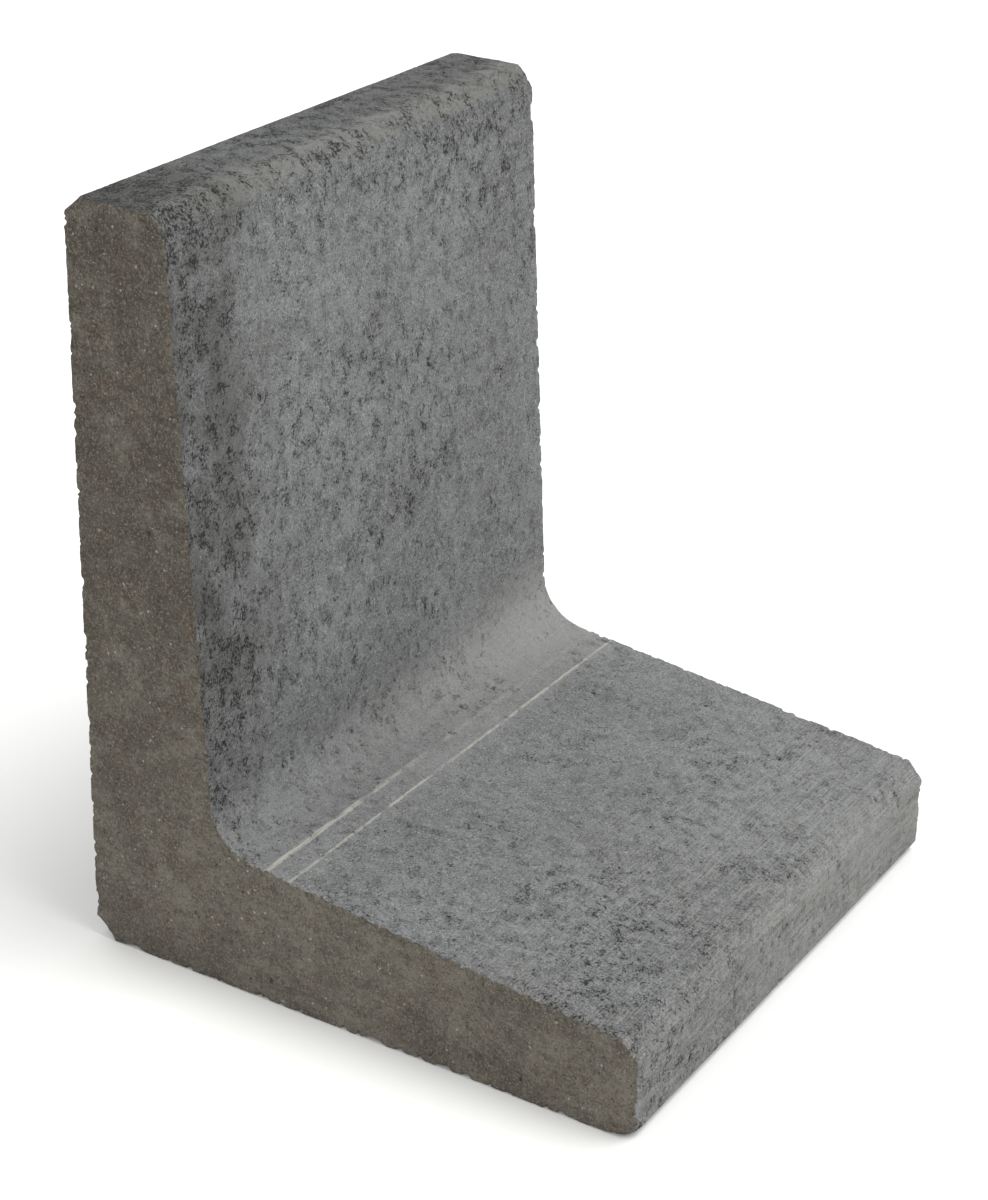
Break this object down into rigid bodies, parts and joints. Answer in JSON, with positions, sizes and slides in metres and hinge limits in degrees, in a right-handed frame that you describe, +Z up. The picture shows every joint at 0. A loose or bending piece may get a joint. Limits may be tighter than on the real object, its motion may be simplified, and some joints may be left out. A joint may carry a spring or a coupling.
{
  "type": "precast concrete L-block",
  "caption": "Small L-shaped precast concrete retaining wall block: tapered stem, wedge-shaped foot, filleted inner corner, chamfered edges, tied steel cage inside.",
  "frame": {"origin": "centre of the block's base", "axes": "+X along the wall that the blocks stand in, -Y out over the foot from the stem, +Z up"},
  "size_m": [0.4, 0.4, 0.5],
  "materials": {
    "concrete": "matte",
    "rebar": "matte",
    "tie_wire": "satin",
    "spacer_plastic": "matte"
  },
  "bodies": {
    "root": {"concrete_body": "concrete", "main_bar_1": "rebar", "main_bar_2": "rebar", "main_bar_3": "rebar", "main_bar_4": "rebar", "stem_bar_1": "rebar", "stem_bar_2": "rebar", "stem_bar_3": "rebar", "stem_bar_4": "rebar", "foot_bar_1": "rebar", "foot_bar_2": "rebar", "foot_bar_3": "rebar", "stem_ties_1": "tie_wire", "stem_ties_2": "tie_wire", "stem_ties_3": "tie_wire", "stem_ties_4": "tie_wire", "foot_ties_1": "tie_wire", "foot_ties_2": "tie_wire", "foot_ties_3": "tie_wire", "stem_chairs_lower": "spacer_plastic", "stem_chairs_upper": "spacer_plastic", "foot_chairs": "spacer_plastic"}
  },
  "joints": []
}
